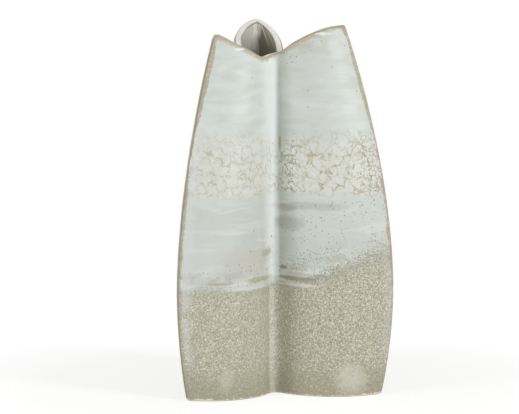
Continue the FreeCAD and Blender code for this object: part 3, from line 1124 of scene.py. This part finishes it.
baseTree = makeBaseTree()
slab = bmesh.new()
for node, wall in walls.items():
    third = runTree(node + "Foot", baseTree, {**wallValues(wall), **baseSizes}, glaze)
    slab.from_mesh(third)
bmesh.ops.remove_doubles(slab, verts=slab.verts, dist=mergeGap)
bmesh.ops.recalc_face_normals(slab, faces=slab.faces)
slabMesh = bpy.data.meshes.new("base_slab_fired")
slab.to_mesh(slabMesh)
slab.free()
slabMesh.materials.append(glaze)
slabMesh.shade_smooth()
slabMesh.set_sharp_from_angle(angle=sharpAngle)
addPiece("base_slab_fired", slabMesh, "base_slab")

coilStop = 10  # a coil ends this far below its wing's tip, mm
coilTree = makeCoilTree()
for wall in walls.values():
    wingName = wall["wings"][0]
    node = wingName + "_edge_coil"
    top = (tipHeight - wings[wingName]["tipDrop"] - coilStop) * mm
    mesh = runTree(node, coilTree, {**wallValues(wall), **coilSizes, "high": top}, coilGlaze)
    addPiece(node + "_pressed", facedOut(mesh), node)

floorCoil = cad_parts["floor_coil"]  # it keeps its own mesh, in the inner glaze
floorCoil.data.materials.clear()
floorCoil.data.materials.append(coilGlaze)

# Camera at the photograph's viewing angle, in metres and degrees, with its lens in mm
camera = {"turn": 12.342, "tilt": 6.801, "distance": 2.7, "target": (-0.01039, 0, 0.15133),
          "lens": 227.35, "sensor": 36, "farthest": 20}


def addCamera():
    turn, tilt = camera["turn"] * degree, camera["tilt"] * degree
    back = Vector((-math.sin(turn) * math.cos(tilt), -math.cos(turn) * math.cos(tilt), math.sin(tilt)))
    data = bpy.data.cameras.new("camera")
    data.lens = camera["lens"]
    data.sensor_width = camera["sensor"]
    data.clip_end = camera["farthest"]
    seen = bpy.data.objects.new("camera", data)
    seen.location = Vector(camera["target"]) + back * camera["distance"]
    seen.rotation_euler = back.to_track_quat("Z", "Y").to_euler()
    bpy.context.scene.collection.objects.link(seen)
    bpy.context.scene.camera = seen


addCamera()

# A softbox to the right, a fill to the left and a weak one above, in metres and watts
lamps = {
    "rightSoftbox": {"place": (1.64, -2.1, 0.9), "size": 0.7, "watts": 33.5},
    "leftFill": {"place": (-2.37, -1.05, 0.8), "size": 1, "watts": 23},
    "topSoftbox": {"place": (0.1, 0.1, 1.9), "size": 1.6, "watts": 4},
}
lampAim = Vector((0, 0, 0.15))
room = {"world": 0.3, "floorReach": 6, "floorWhite": 0.5, "floorGlow": 0.8, "shadowReach": 0.16,
        "whiteFrom": 0.5, "floorColour": "#f4f4f2"}
floorSteps = """
# white from a distance, and near the object its shadow stays
awayShare = RAMP radius shadowReach whiteFrom
shadowShare = SUBTRACT 1 floorWhite
whiteShare = MULTIPLY_ADD awayShare shadowShare floorWhite
shadedShare = SUBTRACT 1 whiteShare
glow = MULTIPLY_ADD shadedShare floorGlow 1
whiteSeen = MULTIPLY whiteShare shown
"""


def addLamps():
    for name, lamp in lamps.items():
        data = bpy.data.lights.new(name, "AREA")
        data.shape = "SQUARE"
        data.size = lamp["size"]
        data.energy = lamp["watts"]
        light = bpy.data.objects.new(name, data)
        light.location = lamp["place"]
        light.rotation_euler = (light.location - lampAim).to_track_quat("Z", "Y").to_euler()
        bpy.context.scene.collection.objects.link(light)


def addShown(tree):  # 1 where the camera, or a reflection or refraction, sees the surface
    rays = addNode(tree, "ShaderNodeLightPath")
    shown = addNode(tree, "ShaderNodeMath", [rays.outputs["Is Camera Ray"], rays.outputs["Is Glossy Ray"]],
                    operation="MAXIMUM")
    return addNode(tree, "ShaderNodeMath", [shown, rays.outputs["Is Transmission Ray"]], operation="MAXIMUM")


def addRoom():  # white where it is seen, and dimmer where it lights the vase
    world = bpy.data.worlds.new("room")
    world.use_nodes = True
    bpy.context.scene.world = world
    tree = world.node_tree
    strength = addNode(tree, "ShaderNodeMapRange", [addShown(tree), 0, 1, room["world"], 1])
    background = tree.nodes["Background"]
    background.inputs["Color"].default_value = white
    tree.links.new(strength.outputs[0], background.inputs["Strength"])
    material = bpy.data.materials.new("paleStudioFloor")
    material.use_nodes = True
    tree = material.node_tree
    tree.nodes.remove(tree.nodes["Principled BSDF"])
    place = addNode(tree, "ShaderNodeTexCoord").outputs["Object"]
    radius = addNode(tree, "ShaderNodeVectorMath", [place], operation="LENGTH").outputs["Value"]
    values = {**room, "radius": radius, "shown": addShown(tree).outputs[0]}
    runSteps(tree, floorSteps, values)
    matt = addNode(tree, "ShaderNodeBsdfDiffuse", [hexColour(room["floorColour"])])
    glow = addNode(tree, "ShaderNodeEmission", [white, values["glow"]])
    mixed = addNode(tree, "ShaderNodeMixShader", [values["whiteSeen"], matt, glow])
    tree.links.new(mixed.outputs[0], tree.nodes["Material Output"].inputs["Surface"])
    mesh = bpy.data.meshes.new("floor")
    reach = room["floorReach"]
    corners = [(-reach, -reach, 0), (reach, -reach, 0), (reach, reach, 0), (-reach, reach, 0)]
    mesh.from_pydata(corners, [], [(0, 1, 2, 3)])
    mesh.materials.append(material)
    floor = bpy.data.objects.new("floor", mesh)
    bpy.context.scene.collection.objects.link(floor)


addLamps()
addRoom()
bpy.context.scene.view_settings.view_transform = "Standard"
print("lights, floor and camera set")
